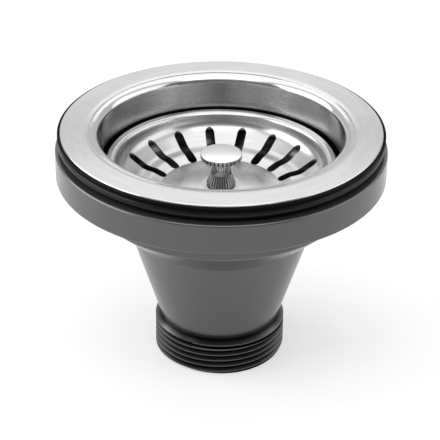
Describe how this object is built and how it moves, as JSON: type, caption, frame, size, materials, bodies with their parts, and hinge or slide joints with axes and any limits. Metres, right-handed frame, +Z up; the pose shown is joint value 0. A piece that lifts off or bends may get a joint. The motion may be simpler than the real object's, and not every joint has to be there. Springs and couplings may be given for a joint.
{
  "type": "sink basket strainer waste",
  "caption": "Kitchen sink waste: steel flange and bowl, rubber gaskets, grey funnel with a threaded outlet, and a slotted strainer basket that lifts out by its knob.",
  "frame": {"origin": "centre of the outlet's end face, where the waste stands in the picture", "axes": "+Z up the waste's axis from the outlet to the flange; +Y away from the picture's camera, +X to its right"},
  "size_m": [0.1178, 0.1178, 0.0892],
  "materials": {
    "satin_steel": "circular satin brushing",
    "basket_steel": "polished pressing",
    "knob_chrome": "bright chrome",
    "bolt_steel": "turned stainless",
    "insert_brass": "turned brass",
    "black_rubber": "satin rubber",
    "grey_plastic": "satin moulded polypropylene"
  },
  "bodies": {
    "waste": {"flange_bowl": "satin_steel", "upper_gasket": "black_rubber", "lower_gasket": "black_rubber", "drain_body": "grey_plastic", "threaded_insert": "insert_brass", "clamp_bolt": "bolt_steel", "bolt_washer": "black_rubber"},
    "basket": {"strainer_basket": "basket_steel", "stopper_seal": "black_rubber", "seal_plate": "bolt_steel", "stem_pin": "bolt_steel", "pin_o_ring": "black_rubber", "knob_washer": "knob_chrome", "basket_knob": "knob_chrome"}
  },
  "joints": [
    {"name": "basket_lift", "type": "slide", "parent": "waste", "child": "basket", "axis": [0, 0, 1], "range_m": [0, 0.05]}
  ]
}
